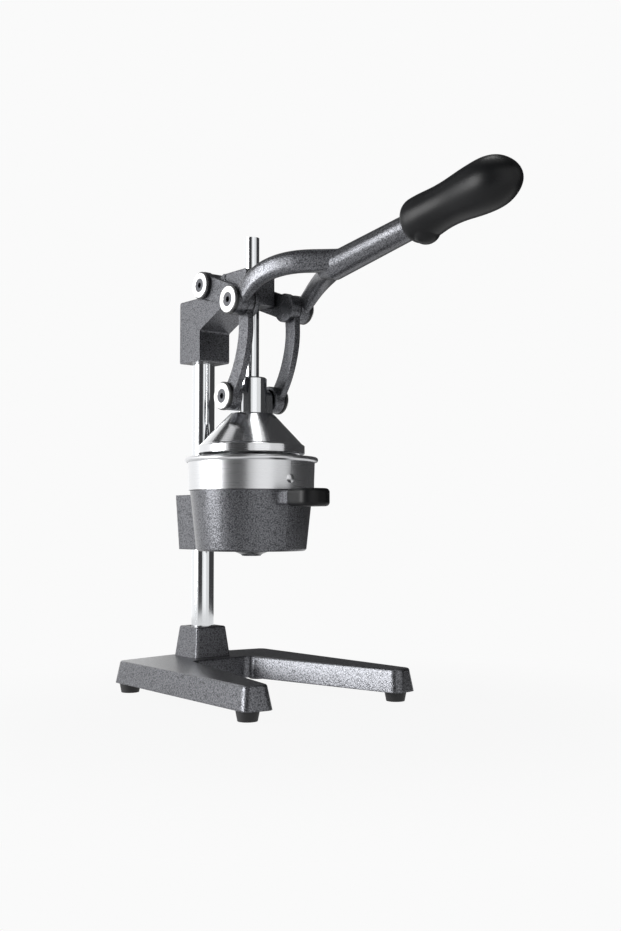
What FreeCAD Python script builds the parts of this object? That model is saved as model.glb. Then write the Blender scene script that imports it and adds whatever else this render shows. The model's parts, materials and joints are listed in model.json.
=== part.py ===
import FreeCAD, Part
import math
import os

# A hand-levered citrus press: cast frame, chrome column, press rod and a steel strainer bowl.
# Millimetres. All shapes are drawn with the press rod on the Z axis, the floor at Z = 0 and the
# handle to +X; save() then moves them along X, so the origin is under the middle of the length.

# --- fits ---
running = 0.05          # radial clearance of a turning or sliding fit
seated = 0.02           # radial clearance of a fixed fit
side_gap = 0.4          # gap between faces that pass each other

# --- column and rod ---
column_radius = 10.5
column_gap = 7.1        # between the bowl's rolled rim and the column
rod_radius = 6.5

# --- heights, from the floor up, each from the one below it ---
foot_height = 9.0
leg_thick = 19.5
socket_height = 28.0
glass_room = 72.0       # from the socket's top to the cup's floor
cup_depth = 53.5
band_height = 27.2      # the steel band that stands out of the cup
bell_gap = 5.2          # from the bowl's rim up to the bell, lever at rest
bell_rim = 8.0
bell_rise = 28.7
hub_height = 32.5
crosshead_rise = 14.0   # of the lower pivots over the bell
link_rise = 81.2        # from the lower pivots to the knuckles
link_lean = 23.5        # of the knuckles in front of the rod
fulcrum_rise = 25.7     # of the fulcrum over the knuckles
fulcrum_back = 45.2     # of the fulcrum behind the rod
guide_height = 31.0
head_drop = 44.0        # of the head's block below the guide
head_rise = 15.0
rod_end = 31.5          # of the rod above the guide

leg_top = foot_height + leg_thick
socket_top = leg_top + socket_height
cup_bottom = socket_top + glass_room
cup_top = cup_bottom + cup_depth
bowl_rim_z = cup_top + side_gap + band_height
cone_rim_bottom = bowl_rim_z + bell_gap
cone_rim_top = cone_rim_bottom + bell_rim
cone_top = cone_rim_top + bell_rise
hub_top = cone_top + hub_height

# --- pivots of the linkage, as (X, Z) ---
crosshead = (0.0, cone_top + crosshead_rise)
knuckle = (link_lean, crosshead[1] + link_rise)
fulcrum = (-fulcrum_back, knuckle[1] + fulcrum_rise)
guide_bottom = knuckle[1] + 2.3
guide_top = guide_bottom + guide_height
head_bottom = guide_bottom - head_drop
head_top = guide_bottom + head_rise
rod_top = guide_top + rod_end

# --- layers of the linkage, outwards from the middle plane ---
guide_side = 9.5         # of the guide beside the rod
guide_half = rod_radius + guide_side
guide_wall = 6.0
head_half = guide_half + 1.0
boss_half = head_half + 0.6
fulcrum_link_in = boss_half + side_gap
fulcrum_link_thick = 4.6
fulcrum_link_half = 10.4
link_in = fulcrum_link_in + fulcrum_link_thick + side_gap
link_thick = 6.0
link_half = 6.7
link_boss_thick = 10.0
link_out = link_in + link_thick
lever_eye_in = link_out + side_gap
lever_eye_thick = 10.3
lever_eye_out = lever_eye_in + lever_eye_thick
hub_radius = rod_radius + 7.0
ear_in = hub_radius - 2.5
ear_out = link_out - link_boss_thick - side_gap
ring_thick = 2.6
washer_thick = 1.6
crosshead_ring_thick = 2.3

# --- pivot hardware ---
bolt_radius = 5.0
crosshead_bolt_radius = 4.0
open_eye_radius = 9.3
eye_radius = bolt_radius + 7.2
fulcrum_link_eye = eye_radius + 0.7
bolt_head_radius = bolt_radius + 1.2
hex_flats = 5.0
hex_depth = 3.0
washer_radius = bolt_head_radius + 5.2
ring_radius = washer_radius + 1.2

# --- cup, bowl and press cone ---
cup_radius_top = 55.0
cup_radius_bottom = 49.4
cup_wall = 4.5
cup_floor = 5.0
spout_radius = 17.0
spout_tip_radius = 8.2
spout_wall = 2.4
spout_drop = 4.6
clamp_half = column_radius + 7.0
clamp_step = 2.4
clamp_rear_low = 0.0    # how far the clamp stands behind the block, low and high
clamp_rear_high = 6.4
bowl_lip = 1.2          # of the band over the cup's wall
bowl_flare = 0.8
bead_radius = 2.3
bowl_wall = 1.2
bowl_gap = 0.6
bowl_lift = 16.5        # of the strainer's floor over the cup's floor
reamer_radius = 36.0
reamer_height = 30.0
cone_gap = 7.2          # between the bell's rim and the band
cone_shoulder_radius = 19.5
cone_shoulder_round = 5.0
cone_wall = 3.8
ear_half_width = 9.0
ear_round = 2.8
dimple_ball = 8.0
dimple_proud = 1.0

bowl_radius = cup_radius_top + bowl_lip
bowl_rim_radius = bowl_radius + bowl_flare + 0.6
bowl_floor_z = cup_bottom + cup_floor + bowl_lift
dimple_z = cup_top + 9.8
cone_rim_radius = bowl_radius - bowl_wall - cone_gap
column_x = -(bowl_rim_radius + bead_radius + column_gap + column_radius)
block_half = column_radius + 5.0
block_half_width = column_radius + 5.5

# --- base ---
leg_front_x = 114.0
leg_front_y = 88.0
leg_rear_y = 82.0
web_half = 32.0
leg_rear_x = column_x - 14.5
leg_nose_x = leg_front_x + 4.0
leg_nose_y = leg_front_y - 19.5
web_front_x = column_x + 31.5
tail_x = leg_rear_x - 11.0
leg_draft = 3.0
foot_radius = 9.6
foot_places = [(leg_front_x - 11.0, leg_front_y - 9.0), (leg_rear_x + 5.0, leg_rear_y - 10.0)]
block_flare = 3.5
leg_corner = 8.0

# --- handle tab ---
lug_length = 21.0       # out of the cup's wall
lug_half = 13.0
lug_thick = 12.0
tab_gap = 16.0          # from the cup's wall to the tab
tab_length = 27.5
tab_corner = 12.0
tab_half = 15.0
tab_wall = 1.6          # over and under the lug
tab_below = 7.2         # of the tab's middle below the cup's top

lug_end = cup_radius_top + lug_length
tab_start = cup_radius_top + tab_gap
tab_end = tab_start + tab_length
tab_middle_z = cup_top - tab_below
tab_half_height = lug_thick / 2 + tab_wall

# --- lever ---
arm_squareness = 0.66      # 1 is an ellipse, less is squarer
fork_length = 94.5          # from the knuckles to the root of the shaft
fork_rise = 19.3
lever_joint = (knuckle[0] + fork_length, knuckle[1] + fork_rise)
shaft_slope = math.radians(9.4)
shaft_root_radius = 11.6
shaft_radius = 10.2
shaft_length = 90.0
tang_radius = 7.0
tang_length = 52.0
grip_slope = math.radians(7.6)
grip_length = 106.0

Y_AXIS = FreeCAD.Vector(0, 1, 0)
Z_AXIS = FreeCAD.Vector(0, 0, 1)
SIDES = [("near", -1), ("far", 1)]


def vec(x, y, z):
    return FreeCAD.Vector(x, y, z)


def rod_along_z(radius, z0, z1, x=0.0, y=0.0):
    return Part.makeCylinder(radius, z1 - z0, vec(x, y, z0), Z_AXIS)


def rod_along_y(radius, place, inner, outer, side):
    """A cylinder parallel to Y, from inner to outer measured away from the middle plane."""
    return Part.makeCylinder(radius, outer - inner, vec(place[0], side * inner, place[1]),
                             vec(0, side, 0))


def box(x0, x1, y0, y1, z0, z1):
    return Part.makeBox(x1 - x0, y1 - y0, z1 - z0, vec(x0, y0, z0))


def turned(profile):
    """A solid of revolution about Z from (radius, z) points."""
    wire = Part.makePolygon([vec(r, 0, z) for r, z in profile + profile[:1]])
    return Part.Face(wire).revolve(vec(0, 0, 0), Z_AXIS, 360)


def slab_xz(points, y0, y1):
    """An outline of (X, Z) points, drawn straight across from y0 to y1."""
    wire = Part.makePolygon([vec(x, y0, z) for x, z in points + points[:1]])
    return Part.Face(wire).extrude(vec(0, y1 - y0, 0))


def rounded(shape, radius, wanted):
    edges = [e for e in shape.Edges if wanted(e)]
    return shape.makeFillet(radius, edges) if edges else shape


def save(shape, node):
    shape = shape.removeSplitter()
    shape.translate(vec(-middle_x(), 0, 0))
    shape.exportStep("parts/%s.step" % node)
    print(node, len(shape.Solids), round(shape.Volume), shape.isValid())


def middle_x():
    """The middle of the whole length, from the base's tail to the tip of the grip."""
    tip = along(grip_start(), grip_slope, grip_length)
    return (tail_x - leg_draft + tip.x) / 2


def level(edge):
    box_of = edge.BoundBox
    return box_of.ZLength < 0.01


def upright(edge):
    return edge.BoundBox.ZLength > 5 and len(edge.Vertexes) == 2


def base_outline(spread, z):
    half = [(tail_x - spread, -15.0), (leg_rear_x - spread, -leg_rear_y - spread),
            (leg_front_x + spread, -leg_front_y - spread),
            (leg_nose_x + spread, -leg_nose_y + spread),
            (web_front_x + spread, -web_half + spread)]
    other = [(x, -y) for x, y in reversed(half)]
    points = half + other
    return Part.makePolygon([vec(x, y, z) for x, y in points + points[:1]])


def rectangle(x, half_x, half_y, z):
    corners = [(-1, -1), (1, -1), (1, 1), (-1, 1), (-1, -1)]
    return Part.makePolygon([vec(x + a * half_x, b * half_y, z) for a, b in corners])


def base_casting():
    legs = Part.makeLoft([base_outline(leg_draft, foot_height), base_outline(0.0, leg_top)],
                         True, True)
    legs = rounded(legs, leg_corner, upright)
    legs = rounded(legs, 2.0, lambda e: level(e) and e.BoundBox.ZMin > leg_top - 0.1)
    block = Part.makeLoft([rectangle(column_x, block_half + block_flare,
                                     block_half_width + block_flare, leg_top - 2.0),
                           rectangle(column_x, block_half, block_half_width, socket_top)],
                          True, True)
    block = rounded(block, 2.0, lambda e: upright(e) or e.BoundBox.ZMin > socket_top - 0.1)
    bore = rod_along_z(column_radius + seated, foot_height + 3.0, socket_top + 1.0, column_x)
    return legs.fuse(block).cut(bore)


def foot(x, y):
    profile = [(0, 0), (foot_radius - 1.6, 0), (foot_radius - 0.4, foot_height - 3.0),
               (foot_radius, foot_height - 0.5), (foot_radius, foot_height), (0, foot_height)]
    shape = turned(profile)
    shape.translate(vec(x, y, 0))
    return shape


def cup_holder():
    height = cup_top - cup_bottom
    slope = (cup_radius_top - cup_radius_bottom) / height
    floor_z = cup_bottom + cup_floor
    cup = turned([(0, cup_bottom - spout_drop), (spout_tip_radius, cup_bottom - spout_drop),
                  (spout_tip_radius + 1.6, cup_bottom - spout_drop + 1.6),
                  (spout_radius - 3.0, cup_bottom - 1.4),
                  (spout_radius, cup_bottom), (cup_radius_bottom - 1.5, cup_bottom),
                  (cup_radius_bottom, cup_bottom + 1.5), (cup_radius_top, cup_top), (0, cup_top)])
    hollow = turned([(0, floor_z),
                     (cup_radius_bottom + slope * cup_floor - cup_wall, floor_z),
                     (cup_radius_top - cup_wall + slope, cup_top + 1.0), (0, cup_top + 1.0)])
    clamp = slab_xz([(column_x - block_half - clamp_rear_low, cup_bottom), (-20.0, cup_bottom),
                     (-20.0, cup_top - clamp_step),
                     (column_x - block_half - clamp_rear_high, cup_top - clamp_step)],
                    -clamp_half, clamp_half)
    clamp = rounded(clamp, 2.0, lambda e: e.BoundBox.XMax < column_x - 2.0)
    seat = Part.makeCylinder(6.2, 20.0, vec(cup_screw_face(), 0, cup_middle_z()), vec(-1, 0, 0))
    clamp = clamp.cut(seat)
    lug = box(cup_radius_bottom - 2.0, lug_end, -lug_half, lug_half,
              tab_middle_z - lug_thick / 2, tab_middle_z + lug_thick / 2)
    lug = rounded(lug, 1.5, lambda e: e.BoundBox.XLength > 5)
    shape = cup.fuse([clamp, lug]).cut(hollow)
    shape = shape.cut(rod_along_z(column_radius + seated, cup_bottom - 1, cup_top + 1, column_x))
    spout_hole = rod_along_z(spout_tip_radius - spout_wall, cup_bottom - spout_drop - 1.0,
                             floor_z + 1.0)
    return shape.cut([spout_hole, clamp_bore(cup_middle_z())])


def cup_middle_z():
    return (cup_bottom + cup_top) / 2


def cup_screw_face():
    return column_x - block_half - clamp_rear_low - 2.0


def clamp_bore(z):
    return Part.makeCylinder(3.0 + seated, 40, vec(column_x - column_radius, 0, z), vec(-1, 0, 0))


def clamp_screw(z, face_x):
    """A cup-point screw that holds a casting on the column, with its head on the rear face."""
    tip_x = column_x - column_radius
    shank = Part.makeCylinder(3.0, tip_x - face_x - 0.2, vec(tip_x - 0.2, 0, z), vec(-1, 0, 0))
    head = Part.makeCylinder(5.0, 4.0, vec(face_x, 0, z), vec(-1, 0, 0))
    socket = hex_hole(5.0, 3.0)
    socket.rotate(vec(0, 0, 0), Y_AXIS, 90)
    socket.translate(vec(face_x - 4.0 + 0.0, 0, z))
    return shank.fuse(head).cut(socket)


def hex_hole(flats, depth):
    """A six-sided prism along Z, from 0 up to depth, that starts just below 0."""
    corner = flats / 2 / math.cos(math.pi / 6)
    points = [vec(corner * math.cos(k * math.pi / 3), corner * math.sin(k * math.pi / 3), -0.5)
              for k in range(7)]
    return Part.Face(Part.makePolygon(points)).extrude(vec(0, 0, depth + 0.5))


def handle_tab():
    shape = box(tab_start, tab_end, -tab_half, tab_half,
                tab_middle_z - tab_half_height, tab_middle_z + tab_half_height)
    shape = rounded(shape, tab_corner, lambda e: upright(e) and e.BoundBox.XMin > lug_end)
    shape = rounded(shape, 3.4, level)
    socket = box(lug_end - 20.0, lug_end + seated, -lug_half - seated, lug_half + seated,
                 tab_middle_z - lug_thick / 2 - seated,
                 tab_middle_z + lug_thick / 2 + seated)
    return shape.cut(socket)


def guide_front():
    return rod_radius + guide_wall


def head_casting():
    front = column_x + block_half + 2.5
    outline = [(column_x - block_half, head_bottom), (front, head_bottom),
               (front, head_bottom + 28.5), (-27.0, guide_bottom - 0.5),
               (-20.0, guide_bottom), (guide_front(), guide_bottom), (guide_front(), guide_top),
               (-21.0, guide_top), (front, head_top), (column_x - block_half, head_top)]
    arm = slab_xz(outline, -head_half, head_half)
    trims = [box(-19.0, guide_front() + 1, *sorted((side * guide_half, side * (head_half + 1))),
                 guide_bottom - 1, guide_top + 1) for _, side in SIDES]
    arm = arm.cut(trims)
    arm = rounded(arm, 2.0, lambda e: e.BoundBox.YLength > 20 and e.BoundBox.XLength < 0.1)
    boss = rod_along_y(eye_radius, fulcrum, -boss_half, boss_half, 1)
    shape = arm.fuse(boss)
    bores = [rod_along_z(column_radius + seated, head_bottom - 1, head_top - 8, column_x),
             rod_along_z(rod_radius + running, guide_bottom - 1, guide_top + 1),
             rod_along_y(bolt_radius + seated, fulcrum, -boss_half - 1, boss_half + 1, 1),
             clamp_bore(head_bottom + 26.0)]
    return shape.cut(bores)


def fulcrum_link(side):
    """The flat bar of one side between the head's boss and the lever's knuckle."""
    y0, y1 = fulcrum_link_in, fulcrum_link_in + fulcrum_link_thick
    eye_a = rod_along_y(fulcrum_link_eye, fulcrum, y0, y1, side)
    eye_b = rod_along_y(fulcrum_link_eye, knuckle, y0, y1, side)
    dx, dz = knuckle[0] - fulcrum[0], knuckle[1] - fulcrum[1]
    length = math.hypot(dx, dz)
    nx, nz = -dz / length * fulcrum_link_half, dx / length * fulcrum_link_half
    bar = slab_xz([(fulcrum[0] - nx, fulcrum[1] - nz), (knuckle[0] - nx, knuckle[1] - nz),
                   (knuckle[0] + nx, knuckle[1] + nz), (fulcrum[0] + nx, fulcrum[1] + nz)],
                  side * y0, side * y1)
    shape = eye_a.fuse([eye_b, bar])
    return shape.cut([rod_along_y(bolt_radius + running, fulcrum, y0 - 1, y1 + 1, side),
                      rod_along_y(bolt_radius + seated, knuckle, y0 - 1, y1 + 1, side)])


def link_points():
    """The bowed middle line of a connecting link: how far down it is, and its bow forward."""
    bow = [(0.0, 1.0), (0.193, 7.64), (0.353, 11.2), (0.538, 12.35), (0.711, 11.0),
           (0.858, 7.47), (1.0, 1.0)]
    drop = knuckle[1] - crosshead[1]
    lean = knuckle[0] - crosshead[0]
    return [(knuckle[0] - lean * t + forward, knuckle[1] - drop * t) for t, forward in bow]


def connecting_link(side):
    """The bowed link of one side, from the knuckle down to the crosshead."""
    y0, y1 = link_in, link_out
    half = link_half
    curve = Part.BSplineCurve()
    curve.interpolate([vec(x, 0, z) for x, z in
                       link_points()])
    steps = 14
    first, last = curve.FirstParameter, curve.LastParameter
    inner, outer = [], []
    for k in range(steps + 1):
        t = first + (last - first) * k / steps
        p, d = curve.value(t), curve.tangent(t)[0]
        n = vec(-d.z, 0, d.x)
        outer.append(p + n * half)
        inner.append(p - n * half)
    sides = []
    for row in (outer, inner[::-1]):
        spline = Part.BSplineCurve()
        spline.interpolate([vec(p.x, side * y0, p.z) for p in row])
        sides.append(spline.toShape())
    caps = [Part.makeLine(sides[0].Vertexes[-1].Point, sides[1].Vertexes[0].Point),
            Part.makeLine(sides[1].Vertexes[-1].Point, sides[0].Vertexes[0].Point)]
    outline = Part.Wire([sides[0], caps[0], sides[1], caps[1]])
    bar = Part.Face(outline).extrude(vec(0, side * (y1 - y0), 0))
    eye_top = rod_along_y(eye_radius, knuckle, y0, y1, side)
    eye_low = rod_along_y(eye_radius, crosshead, y1 - link_boss_thick, y1, side)
    shape = bar.fuse([eye_top, eye_low])
    return shape.cut([rod_along_y(bolt_radius + running, knuckle, y0 - 2, y1 + 2, side),
                      rod_along_y(open_eye_radius, crosshead, y0 - 9, y1 + 2, side)])


def lever_arm_sections():
    """Centre, half width and half height along the far fork arm, from knuckle to shaft."""
    eye_y = (lever_eye_in + lever_eye_out) / 2
    x, z = knuckle
    root_x, root_z = lever_joint
    return [(vec(x + 3.0, eye_y, z + 1.5), 4.5, 8.6),
            (vec(x + 10.5, eye_y, z + 4.3), 4.7, 8.2),
            (vec(x + 22.5, eye_y - 0.6, z + 12.8), 5.6, 8.4),
            (vec(x + 36.5, eye_y - 3.2, root_z), 6.2, 8.8),
            (vec(root_x - 41.0, eye_y - 8.8, root_z + 3.8), 6.8, 9.2),
            (vec(root_x - 23.0, eye_y / 2, root_z + 4.6), 7.4, 9.4),
            (vec(root_x - 8.0, 9.5, root_z + 3.6), 7.4, 9.3),
            (vec(root_x + 8.0, 4.0, root_z + 3.9), 5.0, 7.4)]


def tube_through(sections):
    """A solid lofted through rounded upright sections that face along the row of centres."""
    wires = []
    for k, (centre, wide, high) in enumerate(sections):
        before = sections[max(k - 1, 0)][0]
        after = sections[min(k + 1, len(sections) - 1)][0]
        ahead = (after - before).normalize()
        across = ahead.cross(Z_AXIS).normalize()
        up = across.cross(ahead).normalize()
        points = []
        for step in range(16):
            turn = 2 * math.pi * (step + 0.5) / 16
            c, d = math.cos(turn), math.sin(turn)
            x = math.copysign(abs(c) ** arm_squareness, c) * wide
            y = math.copysign(abs(d) ** arm_squareness, d) * high
            points.append(centre + across * x + up * y)
        outline = Part.BSplineCurve()
        outline.interpolate(points, PeriodicFlag=True)
        wires.append(Part.Wire(outline.toShape()))
    return Part.makeLoft(wires, True, False)


def along(start, slope, distance, lift=0.0):
    return vec(start[0] + distance * math.cos(slope) - lift * math.sin(slope), 0,
               start[1] + distance * math.sin(slope) + lift * math.cos(slope))


def heading(slope):
    return vec(math.cos(slope), 0, math.sin(slope))


def lever_casting():
    shaft = Part.makeCone(shaft_root_radius, shaft_radius, shaft_length + 4.0,
                          along(lever_joint, shaft_slope, -4.0), heading(shaft_slope))
    nose = Part.makeCone(6.5, shaft_root_radius, 14.0, along(lever_joint, shaft_slope, -18.0),
                         heading(shaft_slope))
    tang = Part.makeCylinder(tang_radius, tang_length + 4.0,
                             along(lever_joint, shaft_slope, shaft_length - 4.0),
                             heading(shaft_slope))
    far_arm = tube_through(lever_arm_sections())
    far_eye = rod_along_y(eye_radius + 0.3, knuckle, lever_eye_in, lever_eye_out, 1)
    far_half = far_arm.fuse(far_eye)
    shape = shaft.fuse([nose, tang, far_half, far_half.mirror(vec(0, 0, 0), Y_AXIS)])
    return shape.cut([rod_along_y(bolt_radius + seated, knuckle, lever_eye_in - 3,
                                  lever_eye_out + 3, side) for _, side in SIDES])


def grip_start():
    end = along(lever_joint, shaft_slope, shaft_length)
    return end.x, end.z


def grip():
    """A bulbous handle on the end of the shaft, with a finger stop under its inner end."""
    start = grip_start()
    rows = [(0.7, 1.0, 12.5), (1.7, 1.1, 15.2), (5.0, 1.3, 17.2), (10.0, 1.6, 17.7),
            (18.0, 2.0, 17.5), (28.0, 2.7, 16.7), (39.0, 3.2, 16.5), (51.0, 3.5, 17.3),
            (61.4, 3.5, 18.4), (71.0, 3.5, 19.1), (79.5, 3.6, 19.2), (87.0, 3.6, 18.2),
            (93.0, 3.5, 16.1), (98.0, 3.1, 13.2), (102.2, 2.6, 9.6), (105.0, 2.3, 5.4),
            (grip_length, 2.1, 1.5)]
    wires = [Part.Wire(Part.Circle(along(start, grip_slope, distance, lift),
                                   heading(grip_slope), radius).toShape())
             for distance, lift, radius in rows]
    body = Part.makeLoft(wires, True, False)
    stop = Part.makeSphere(11.6, along(start, grip_slope, 13.5, -7.8))
    bore = Part.makeCylinder(tang_radius + seated, tang_length + 8.2,
                             along(lever_joint, shaft_slope, shaft_length - 8.0),
                             heading(shaft_slope))
    return body.fuse(stop).cut(bore)


def pivot_bolt(place, shank, inner, face, side):
    """A bolt with a flat head flush with the washer and a hex socket in it."""
    head_in = face - washer_thick
    shape = rod_along_y(shank, place, inner, head_in, side)
    shape = shape.fuse(rod_along_y(bolt_head_radius, place, head_in, face - 0.2, side))
    socket = hex_hole(hex_flats, hex_depth)
    socket.rotate(vec(0, 0, 0), vec(1, 0, 0), 90 * side)
    socket.translate(vec(place[0], side * (face - 0.2), place[1]))
    return shape.cut(socket)


def ring(place, outer, bore, inner, thick, side):
    return rod_along_y(outer, place, inner, inner + thick, side).cut(
        rod_along_y(bore, place, inner - 1, inner + thick + 1, side))


def hub_ear(side):
    y0, y1 = side * (ear_in - 6.0), side * ear_out
    w, z0, z1 = ear_half_width, cone_top, crosshead[1]
    sides = [Part.makeLine(vec(w, y0, z0), vec(w, y0, z1)),
             Part.Arc(vec(w, y0, z1), vec(0, y0, z1 + w), vec(-w, y0, z1)).toShape(),
             Part.makeLine(vec(-w, y0, z1), vec(-w, y0, z0)),
             Part.makeLine(vec(-w, y0, z0), vec(w, y0, z0))]
    ear = Part.Face(Part.Wire(sides)).extrude(vec(0, y1 - y0, 0))
    outer = y1
    return rounded(ear, ear_round, lambda e: e.BoundBox.YLength < 0.01
                   and abs(e.BoundBox.YMin - outer) < 0.01 and e.BoundBox.ZMax > z0 + 0.1)


def press_hub():
    """The turned hub on the press rod, with one arched ear on each side for the links."""
    hub = turned([(0, cone_top), (hub_radius, cone_top), (hub_radius, hub_top - 1.2),
                  (hub_radius - 1.2, hub_top), (0, hub_top)])
    for _, side in SIDES:
        hub = hub.fuse(hub_ear(side))
    hub = hub.cut(rod_along_z(rod_radius + seated, cone_top - 1, hub_top + 1))
    for _, side in SIDES:
        hub = hub.cut(rod_along_y(crosshead_bolt_radius + seated, crosshead, rod_radius + 1.0,
                                  ear_out + 1, side))
    return hub


def press_cone():
    """The polished bell that presses the fruit, open below."""
    outside = [(cone_rim_radius - 0.6, cone_rim_bottom), (cone_rim_radius, cone_rim_bottom + 0.6),
               (cone_rim_radius, cone_rim_top - 0.8), (cone_rim_radius - 0.8, cone_rim_top),
               (cone_rim_radius - 2.2, cone_rim_top + 0.8), (cone_shoulder_radius, cone_top)]
    low = cone_rim_radius - cone_wall
    inside = [(0, cone_top), (0, cone_top - 8.0),
              (cone_shoulder_radius - 5.5, cone_top - 10.5),
              (low - 1.5, cone_rim_top - 2.0), (low, cone_rim_bottom)]
    bell = rounded(turned(outside + inside), cone_shoulder_round,
                   lambda e: e.BoundBox.ZMin > cone_top - 0.1 and e.BoundBox.XLength > 30)
    return bell.cut(rod_along_z(rod_radius + seated, cone_top - 6.0, cone_top + 1))


def strainer_bowl():
    """A pressed steel bowl: rolled rim, straight band, a step on the cup and a domed strainer."""
    slope = (cup_radius_top - cup_radius_bottom) / (cup_top - cup_bottom)

    def insert_radius(z):
        return cup_radius_bottom + slope * (z - cup_bottom) - cup_wall - bowl_gap

    step_z = cup_top + side_gap
    w = bowl_wall
    top_r, low_r = insert_radius(cup_top), insert_radius(bowl_floor_z)
    band = turned([(bowl_radius, step_z), (bowl_radius + bowl_flare, bowl_rim_z),
                   (bowl_radius + bowl_flare - w, bowl_rim_z), (bowl_radius - w, step_z + w),
                   (top_r - w, step_z + w), (low_r - w, bowl_floor_z + w),
                   (reamer_radius, bowl_floor_z + w),
                   (reamer_radius - 5.0, bowl_floor_z + reamer_height - 21.0),
                   (reamer_radius - 14.0, bowl_floor_z + reamer_height - 8.0),
                   (10.0, bowl_floor_z + reamer_height - 2.0),
                   (0, bowl_floor_z + reamer_height),
                   (0, bowl_floor_z + reamer_height - w), (9.4, bowl_floor_z + reamer_height - 3.4),
                   (reamer_radius - 15.0, bowl_floor_z + reamer_height - 9.2),
                   (reamer_radius - 6.2, bowl_floor_z + reamer_height - 21.6),
                   (reamer_radius - 1.2, bowl_floor_z), (low_r, bowl_floor_z),
                   (top_r, step_z)])
    bead = Part.makeTorus(bowl_rim_radius, bead_radius, vec(0, 0, bowl_rim_z), Z_AXIS)
    dimple = Part.makeSphere(dimple_ball,
                             vec(bowl_radius + 0.3 + dimple_proud - dimple_ball, 0, dimple_z))
    inside = rod_along_z(bowl_radius - w / 2, dimple_z - dimple_ball - 1.0,
                         dimple_z + dimple_ball + 1.0)
    shape = band.fuse([bead, dimple.cut(inside)])
    slot = box(reamer_radius - 12.0, reamer_radius - 8.0, -1.0, 1.0, bowl_floor_z - 2,
               bowl_floor_z + reamer_height - 4.0)
    slots = []
    for k in range(16):
        one = slot.copy()
        one.rotate(vec(0, 0, 0), Z_AXIS, 360.0 * k / 16)
        slots.append(one)
    return shape.cut(slots)


os.makedirs("parts", exist_ok=True)

save(base_casting(), "base_casting")
for side_name, side_sign in SIDES:
    for end_name, (fx, fy) in zip(("front", "rear"), foot_places):
        save(foot(fx, side_sign * fy), "foot_%s_%s" % (end_name, side_name))
save(rod_along_z(column_radius, foot_height + 3.05, head_top - 8.2, column_x), "column")
save(cup_holder(), "cup_holder")
save(handle_tab(), "handle_tab")
save(head_casting(), "head_casting")
save(clamp_screw(head_bottom + 26.0, column_x - block_half), "head_screw")
save(clamp_screw(cup_middle_z(), cup_screw_face()), "cup_screw")

for side_name, side_sign in SIDES:
    save(fulcrum_link(side_sign), "fulcrum_link_" + side_name)
    save(connecting_link(side_sign), "connecting_link_" + side_name)

    stack_in = fulcrum_link_in + fulcrum_link_thick + side_gap
    washer_in = stack_in + ring_thick
    save(pivot_bolt(fulcrum, bolt_radius, 3.0, washer_in + washer_thick, side_sign),
         "fulcrum_bolt_" + side_name)
    save(ring(fulcrum, ring_radius, bolt_radius + seated, stack_in, ring_thick, side_sign),
         "fulcrum_ring_" + side_name)
    save(ring(fulcrum, washer_radius, bolt_head_radius + seated, washer_in, washer_thick,
              side_sign), "fulcrum_washer_" + side_name)

    washer_in = lever_eye_out + ring_thick
    save(pivot_bolt(knuckle, bolt_radius, fulcrum_link_in, washer_in + washer_thick, side_sign),
         "knuckle_bolt_" + side_name)
    save(ring(knuckle, ring_radius, bolt_radius + seated, lever_eye_out, ring_thick, side_sign),
         "knuckle_ring_" + side_name)
    save(ring(knuckle, washer_radius, bolt_head_radius + seated, washer_in, washer_thick,
              side_sign), "knuckle_washer_" + side_name)

    stack_in = link_out + side_gap
    washer_in = stack_in + crosshead_ring_thick
    save(pivot_bolt(crosshead, crosshead_bolt_radius, rod_radius + 1.5, washer_in + washer_thick,
                    side_sign), "crosshead_bolt_" + side_name)
    save(ring(crosshead, ring_radius, crosshead_bolt_radius + seated, stack_in,
              crosshead_ring_thick, side_sign), "crosshead_ring_" + side_name)
    save(ring(crosshead, washer_radius, bolt_head_radius + seated, washer_in, washer_thick,
              side_sign), "crosshead_washer_" + side_name)

save(lever_casting(), "lever_casting")
save(grip(), "grip")
save(rod_along_z(rod_radius, cone_top - 5.8, rod_top), "press_rod")
save(press_hub(), "press_hub")
save(press_cone(), "press_cone")
save(strainer_bowl(), "strainer_bowl")
print("middle", middle_x())
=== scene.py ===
import json
import math
import bpy
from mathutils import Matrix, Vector

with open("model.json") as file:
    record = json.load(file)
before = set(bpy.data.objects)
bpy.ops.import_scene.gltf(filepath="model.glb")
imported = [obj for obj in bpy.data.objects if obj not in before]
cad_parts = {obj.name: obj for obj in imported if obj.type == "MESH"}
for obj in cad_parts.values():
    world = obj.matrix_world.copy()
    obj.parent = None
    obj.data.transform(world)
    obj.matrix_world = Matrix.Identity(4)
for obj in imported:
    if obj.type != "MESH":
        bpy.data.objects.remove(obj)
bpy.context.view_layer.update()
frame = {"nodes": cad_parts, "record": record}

nodes = frame["nodes"]
mm = 0.001
print("frame loaded:", len(nodes), "nodes")


def hexToLinear(hexColour):
    parts = [int(hexColour[i:i + 2], 16) / 255 for i in (1, 3, 5)]
    return [c / 12.92 if c <= 0.04045 else ((c + 0.055) / 1.055) ** 2.4 for c in parts] + [1.0]


# adds a node; settings are attributes, inputs are values or other nodes' output sockets
def addNode(tree, kind, settings=None, inputs=None):
    node = tree.nodes.new(kind)
    for key, value in (settings or {}).items():
        setattr(node, key, value)
    for key, value in (inputs or {}).items():
        if isinstance(value, bpy.types.NodeSocket):
            tree.links.new(value, node.inputs[key])
        else:
            node.inputs[key].default_value = value
    return node


def newMaterial(name):
    material = bpy.data.materials.new(name)
    material.use_nodes = True
    tree = material.node_tree
    tree.nodes.clear()
    output = addNode(tree, "ShaderNodeOutputMaterial")
    shader = addNode(tree, "ShaderNodeBsdfPrincipled")
    tree.links.new(shader.outputs["BSDF"], output.inputs["Surface"])
    return material, tree, shader


def connect(tree, source, shader, socket):
    tree.links.new(source, shader.inputs[socket])


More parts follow.
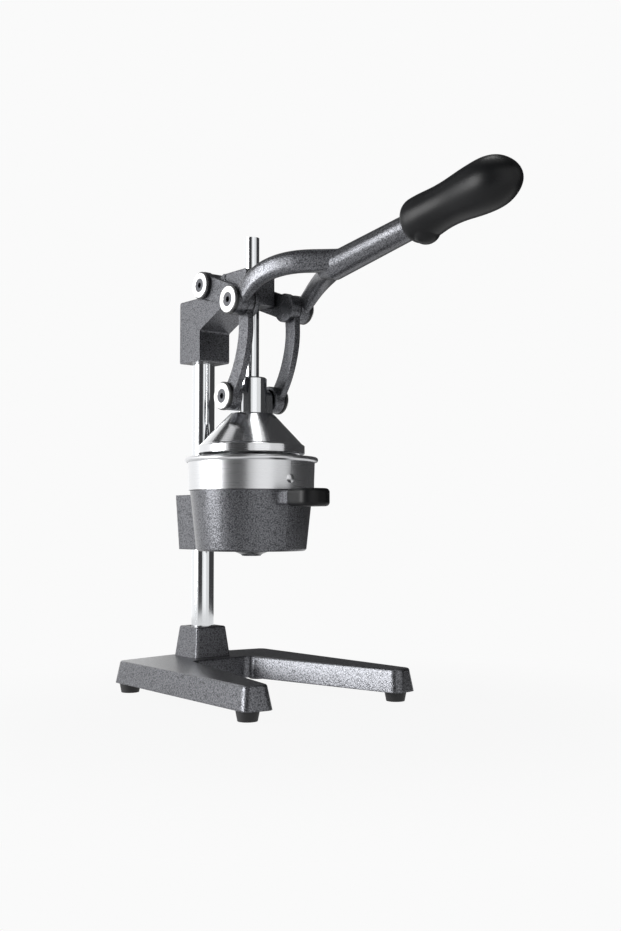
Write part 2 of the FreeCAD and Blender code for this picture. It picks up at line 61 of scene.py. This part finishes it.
def colourRamp(tree, fac, stops):
    ramp = addNode(tree, "ShaderNodeValToRGB", None, {"Fac": fac})
    elements = ramp.color_ramp.elements
    while len(elements) < len(stops):
        elements.new(0.5)
    for element, (place, colour) in zip(elements, stops):
        element.position = place
        element.color = colour if isinstance(colour, list) else [colour] * 3 + [1.0]
    return ramp.outputs["Color"]


def objectPoint(tree):
    return addNode(tree, "ShaderNodeTexCoord").outputs["Object"]


# hammertone enamel on iron: sprayed grey paint that pulls into small glossy dimples; the colour
# darkens into the low parts of the dimple pattern as painted shade, over the paint's own random
# flake tone
enamelLook = {
    "light": "#86878C",
    "dark": "#65666A",
    # painted shade: darkest tone, laid in the low seams of the dimple pattern
    "paintedPitShade": "#3F4043",
    "dimpleSize": 1.05,     # mm between dimples
    "grainSize": 0.6,       # mm, aluminium flake in the paint
    "roughness": 0.3,
    "metallic": 0.72,
    "edgeRound": 1.4,       # mm, cast edges under paint
    "depth": 0.14,          # mm
}


def hammertoneEnamel():
    look = enamelLook
    material, tree, shader = newMaterial("hammertoneEnamel")
    point = objectPoint(tree)
    warp = addNode(tree, "ShaderNodeTexNoise", None,
                   {"Vector": point, "Scale": 1 / (look["dimpleSize"] * 2.2 * mm), "Detail": 2.0})
    bent = addNode(tree, "ShaderNodeVectorMath", {"operation": "MULTIPLY_ADD"},
                   {0: warp.outputs["Color"], 1: [look["dimpleSize"] * 1.2 * mm] * 3, 2: point})
    dimple = addNode(tree, "ShaderNodeTexVoronoi", {"feature": "SMOOTH_F1"},
                     {"Vector": bent.outputs[0], "Scale": 1 / (look["dimpleSize"] * mm),
                      "Smoothness": 0.6})
    flake = addNode(tree, "ShaderNodeTexNoise", None,
                    {"Vector": point, "Scale": 1 / (look["grainSize"] * mm), "Detail": 3.0,
                     "Roughness": 0.6})
    dimpleHeight = addNode(tree, "ShaderNodeMath", {"operation": "MULTIPLY_ADD"},
                           {0: flake.outputs["Fac"], 1: 0.35, 2: dimple.outputs["Distance"]})
    # base colour follows the dimple height: the flake noise is the paint's own random tone, the
    # darkening into the low seams is painted shade
    colour = colourRamp(tree, dimpleHeight.outputs[0],
                        [(0.28, hexToLinear(look["light"])), (0.62, hexToLinear(look["dark"])),
                         (0.95, hexToLinear(look["paintedPitShade"]))])
    edge = addNode(tree, "ShaderNodeBevel", {"samples": 4}, {"Radius": look["edgeRound"] * mm})
    bump = addNode(tree, "ShaderNodeBump", {"invert": True},
                   {"Height": dimpleHeight.outputs[0], "Distance": look["depth"] * mm,
                    "Strength": 0.7, "Normal": edge.outputs[0]})
    connect(tree, colour, shader, "Base Color")
    connect(tree, bump.outputs[0], shader, "Normal")
    shader.inputs["Roughness"].default_value = look["roughness"]
    shader.inputs["Metallic"].default_value = look["metallic"]
    shader.inputs["IOR"].default_value = 1.5
    return material


# chrome plate on ground bar: mirror bright, faint haze
chromeLook = {"colour": "#D8DADC", "roughness": 0.08}


def chromePlate():
    material, tree, shader = newMaterial("chromePlate")
    haze = addNode(tree, "ShaderNodeTexNoise", None,
                   {"Vector": objectPoint(tree), "Scale": 1 / (22 * mm), "Detail": 2.0})
    rough = addNode(tree, "ShaderNodeMapRange", None,
                    {"Value": haze.outputs["Fac"], "To Min": chromeLook["roughness"] * 0.7,
                     "To Max": chromeLook["roughness"] * 1.4})
    connect(tree, rough.outputs["Result"], shader, "Roughness")
    shader.inputs["Base Color"].default_value = hexToLinear(chromeLook["colour"])
    shader.inputs["Metallic"].default_value = 1.0
    return material


# polished stainless bell: spun and buffed, very fine rings left by the buff
polishedLook = {"colour": "#CFD0D2", "roughness": 0.16, "ringSpacing": 0.8}


def polishedStainless():
    look = polishedLook
    material, tree, shader = newMaterial("polishedStainless")
    point = objectPoint(tree)
    rings = addNode(tree, "ShaderNodeTexWave",
                    {"wave_type": "BANDS", "bands_direction": "Z"},
                    {"Vector": point, "Scale": 1 / (look["ringSpacing"] * 20 * mm) * 3,
                     "Distortion": 0.6, "Detail": 2.0})
    rough = addNode(tree, "ShaderNodeMapRange", None,
                    {"Value": rings.outputs["Fac"], "To Min": look["roughness"] * 0.8,
                     "To Max": look["roughness"] * 1.3})
    edge = addNode(tree, "ShaderNodeBevel", {"samples": 4}, {"Radius": 0.7 * mm})
    connect(tree, rough.outputs["Result"], shader, "Roughness")
    connect(tree, edge.outputs[0], shader, "Normal")
    shader.inputs["Base Color"].default_value = hexToLinear(look["colour"])
    shader.inputs["Metallic"].default_value = 1.0
    return material


# satin stainless bowl: brushed round its axis, so highlights spread upright
satinLook = {"colour": "#CACBCD", "roughness": 0.28, "lineSpacing": 0.5}


def satinStainless():
    look = satinLook
    material, tree, shader = newMaterial("satinStainless")
    point = objectPoint(tree)
    stretched = addNode(tree, "ShaderNodeMapping", None,
                        {"Vector": point, "Scale": [1.0, 1.0, 60.0]})
    lines = addNode(tree, "ShaderNodeTexNoise", None,
                    {"Vector": stretched.outputs[0], "Scale": 1 / (look["lineSpacing"] * 60 * mm),
                     "Detail": 4.0})
    rough = addNode(tree, "ShaderNodeMapRange", None,
                    {"Value": lines.outputs["Fac"], "To Min": look["roughness"] * 0.85,
                     "To Max": look["roughness"] * 1.2})
    bump = addNode(tree, "ShaderNodeBump", None,
                   {"Height": lines.outputs["Fac"], "Distance": 0.003 * mm, "Strength": 0.2})
    connect(tree, rough.outputs["Result"], shader, "Roughness")
    connect(tree, bump.outputs[0], shader, "Normal")
    shader.inputs["Base Color"].default_value = hexToLinear(look["colour"])
    shader.inputs["Metallic"].default_value = 1.0
    return material


# moulded black plastic: fine spark-eroded grain, satin sheen
plasticLook = {"colour": "#141517", "roughness": 0.38, "grain": 0.5, "specular": 0.22,
               "edgeRound": 2.2}


def mouldedPlastic():
    look = plasticLook
    material, tree, shader = newMaterial("mouldedPlastic")
    point = objectPoint(tree)
    grain = addNode(tree, "ShaderNodeTexNoise", None,
                    {"Vector": point, "Scale": 1 / (look["grain"] * mm), "Detail": 2.0})
    edge = addNode(tree, "ShaderNodeBevel", {"samples": 6}, {"Radius": look["edgeRound"] * mm})
    cloud = addNode(tree, "ShaderNodeTexNoise", None,
                    {"Vector": point, "Scale": 1 / (25 * mm), "Detail": 2.0})
    rough = addNode(tree, "ShaderNodeMapRange", None,
                    {"Value": cloud.outputs["Fac"], "To Min": look["roughness"] * 0.9,
                     "To Max": look["roughness"] * 1.15})
    bump = addNode(tree, "ShaderNodeBump", None,
                   {"Height": grain.outputs["Fac"], "Distance": 0.02 * mm, "Strength": 0.5,
                    "Normal": edge.outputs[0]})
    connect(tree, rough.outputs["Result"], shader, "Roughness")
    connect(tree, bump.outputs[0], shader, "Normal")
    shader.inputs["Base Color"].default_value = hexToLinear(look["colour"])
    shader.inputs["Specular IOR Level"].default_value = look["specular"]
    return material


# small parts: one colour each with a fine grain in the roughness
def finePart(name, colour, roughness, metallic, grain):
    material, tree, shader = newMaterial(name)
    speck = addNode(tree, "ShaderNodeTexNoise", None,
                    {"Vector": objectPoint(tree), "Scale": 1 / (grain * mm), "Detail": 3.0})
    rough = addNode(tree, "ShaderNodeMapRange", None,
                    {"Value": speck.outputs["Fac"], "To Min": roughness * 0.8,
                     "To Max": roughness * 1.2})
    edge = addNode(tree, "ShaderNodeBevel", {"samples": 4}, {"Radius": 0.35 * mm})
    connect(tree, rough.outputs["Result"], shader, "Roughness")
    connect(tree, edge.outputs[0], shader, "Normal")
    shader.inputs["Base Color"].default_value = hexToLinear(colour)
    shader.inputs["Metallic"].default_value = metallic
    return material


finishes = {
    "hammertone_cast": hammertoneEnamel(),
    "chrome": chromePlate(),
    "polished_steel": polishedStainless(),
    "brushed_steel": satinStainless(),
    "black_plastic": mouldedPlastic(),
    "rubber": finePart("footRubber", "#1B1B1D", 0.6, 0.0, 0.4),
    "nylon": finePart("blackNylon", "#1E1F21", 0.38, 0.0, 0.5),
    "washer_steel": finePart("turnedWasher", "#F2F2F2", 0.3, 0.6, 0.3),
    "bolt_steel": finePart("blackenedBolt", "#55565A", 0.4, 0.8, 0.4),
    "zinc_steel": finePart("zincScrew", "#8D8E92", 0.35, 1.0, 0.4),
}
slotOf = {row["node"]: row["material_slot"] for row in frame["record"]["subparts"]}
for nodeName, thing in nodes.items():
    thing.data.materials.clear()
    thing.data.materials.append(finishes[slotOf[nodeName]])
print("finishes set:", len(finishes))


# camera at kitchen-shelf height, looking a little up past the cup
cameraView = {
    "place": (0.7098, -0.5985, 0.1524),
    "turn": 50.62,          # degrees, 0 looks along +Y
    "tilt": 2.98,           # degrees upward
    "lens": 43.38,
}
cameraData = bpy.data.cameras.new("camera")
cameraData.lens = cameraView["lens"]
cameraData.sensor_width = 36.0
camera = bpy.data.objects.new("camera", cameraData)
camera.location = cameraView["place"]
camera.rotation_euler = (math.radians(90 + cameraView["tilt"]), 0, math.radians(cameraView["turn"]))
bpy.context.scene.collection.objects.link(camera)
bpy.context.scene.camera = camera

studio = {
    "backdrop": "#FAFAFA",
    "floorSize": 8.0,
    "worldFill": 0.16,
}
# name: place, aim, width, height, watts
softboxes = {
    "keySide": ((-0.72, -1.5, 0.42), (-0.13, 0.0, 0.2), 0.8, 1.1, 29.0),
    "topBox": ((-0.2, 0.1, 1.7), (-0.1, 0.0, 0.2), 0.5, 0.5, 4.0),
    "rearSide": ((-0.7, 1.5, 0.8), (-0.1, 0.0, 0.25), 0.6, 1.4, 4.0),
}


def aimed(thing, place, target):
    thing.location = place
    direction = Vector(target) - Vector(place)
    thing.rotation_euler = direction.to_track_quat("-Z", "Y").to_euler()
    bpy.context.scene.collection.objects.link(thing)
    return thing


for lampName, (place, target, width, height, watts) in softboxes.items():
    lamp = bpy.data.lights.new(lampName, "AREA")
    lamp.shape = "RECTANGLE"
    lamp.size, lamp.size_y = width, height
    lamp.energy = watts
    aimed(bpy.data.objects.new(lampName, lamp), place, target)

# sheets round the set that only mirrors show: azimuth from, to, height angle from, to
darkCloths = {
    "clothLeft": (-86, -43, -14, 40),
    "clothRight": (33, 151, -14, 40),
    "clothRoofLow": (-144, 196, 40, 74),
    "clothRoofGapLow": (196, 216, 33, 53),
    "clothRoofGapHigh": (196, 216, 67, 74),
    "clothRoofTop": (100, 380, 74, 88),
}
whiteSheets = {
    "sheetBehind": (155, 235, -14, 33),
    "sheetFront": (-30, 2, -14, 38),
}
sheet = {"radius": 0.8, "centre": (-0.103, 0.0, 0.2), "step": 6.0,
         "dark": "#464647", "white": "#FFFFFF", "whiteStrength": 1.3}


def flatCard(name, width, height, material):
    mesh = bpy.data.meshes.new(name)
    x, y = width / 2, height / 2
    mesh.from_pydata([(-x, -y, 0), (x, -y, 0), (x, y, 0), (-x, y, 0)], [], [(0, 1, 2, 3)])
    mesh.materials.append(material)
    return bpy.data.objects.new(name, mesh)


def roundSheet(name, az0, az1, el0, el1, material):
    columns = max(1, round((az1 - az0) / sheet["step"]))
    rows = max(1, round((el1 - el0) / sheet["step"]))
    centre, points, faces = sheet["centre"], [], []
    for i in range(columns + 1):
        az = math.radians(az0 + (az1 - az0) * i / columns)
        for j in range(rows + 1):
            el = math.radians(el0 + (el1 - el0) * j / rows)
            flat = sheet["radius"] * math.cos(el)
            points.append((centre[0] + flat * math.cos(az), centre[1] + flat * math.sin(az),
                           centre[2] + sheet["radius"] * math.sin(el)))
    for i in range(columns):
        for j in range(rows):
            k = i * (rows + 1) + j
            faces.append((k, k + 1, k + rows + 2, k + rows + 1))
    mesh = bpy.data.meshes.new(name)
    mesh.from_pydata(points, [], faces)
    mesh.materials.append(material)
    return bpy.data.objects.new(name, mesh)


def glowMaterial(name, colour, strength):
    material = bpy.data.materials.new(name)
    material.use_nodes = True
    tree = material.node_tree
    tree.nodes.clear()
    glow = addNode(tree, "ShaderNodeEmission", None,
                   {"Color": hexToLinear(colour), "Strength": strength})
    addNode(tree, "ShaderNodeOutputMaterial", None, {"Surface": glow.outputs[0]})
    return material


darkGlow = glowMaterial("darkCloth", sheet["dark"], 1.0)
whiteGlow = glowMaterial("whiteSheet", sheet["white"], sheet["whiteStrength"])
for group, glow in ((darkCloths, darkGlow), (whiteSheets, whiteGlow)):
    for sheetName, (az0, az1, el0, el1) in group.items():
        patch = roundSheet(sheetName, az0, az1, el0, el1, glow)
        bpy.context.scene.collection.objects.link(patch)
        patch.visible_camera = False
        patch.visible_diffuse = False
        patch.visible_shadow = False


def backdropTree(tree, output, surface):
    path = addNode(tree, "ShaderNodeLightPath")
    seen = addNode(tree, "ShaderNodeMath", {"operation": "MAXIMUM"},
                   {0: path.outputs["Is Camera Ray"], 1: path.outputs["Is Glossy Ray"]})
    seen = addNode(tree, "ShaderNodeMath", {"operation": "MAXIMUM"},
                   {0: seen.outputs[0], 1: path.outputs["Is Transmission Ray"]})
    return seen.outputs[0]


world = bpy.data.worlds.new("studio")
world.use_nodes = True
bpy.context.scene.world = world
tree = world.node_tree
tree.nodes.clear()
seen = backdropTree(tree, None, None)
strength = addNode(tree, "ShaderNodeMapRange", None,
                   {"Value": seen, "To Min": studio["worldFill"], "To Max": 1.0})
sky = addNode(tree, "ShaderNodeBackground", None,
              {"Color": hexToLinear(studio["backdrop"]), "Strength": strength.outputs["Result"]})
worldOut = addNode(tree, "ShaderNodeOutputWorld", None, {"Surface": sky.outputs[0]})

floorMaterial, tree, shader = newMaterial("paleFloor")
shader.inputs["Base Color"].default_value = hexToLinear("#9C9C9C")
shader.inputs["Roughness"].default_value = 0.8
seen = backdropTree(tree, None, None)
glow = addNode(tree, "ShaderNodeEmission", None,
               {"Color": hexToLinear(studio["backdrop"]), "Strength": 1.0})
reach = addNode(tree, "ShaderNodeVectorMath", {"operation": "LENGTH"}, {0: objectPoint(tree)})
fade = addNode(tree, "ShaderNodeMapRange", {"interpolation_type": "SMOOTHSTEP"},
               {"Value": reach.outputs["Value"], "From Min": 0.12, "From Max": 0.42,
                "To Min": 0.965, "To Max": 1.0})
share = addNode(tree, "ShaderNodeMath", {"operation": "MULTIPLY"},
                {0: seen, 1: fade.outputs["Result"]})
mix = addNode(tree, "ShaderNodeMixShader", None,
              {0: share.outputs[0], 1: shader.outputs["BSDF"], 2: glow.outputs[0]})
output = [n for n in tree.nodes if n.type == "OUTPUT_MATERIAL"][0]
tree.links.new(mix.outputs[0], output.inputs["Surface"])
floor = flatCard("floor", studio["floorSize"], studio["floorSize"], floorMaterial)
floor.location = (0, 0, -0.0005)
bpy.context.scene.collection.objects.link(floor)

bpy.context.scene.view_settings.view_transform = "Standard"
print("studio ready")
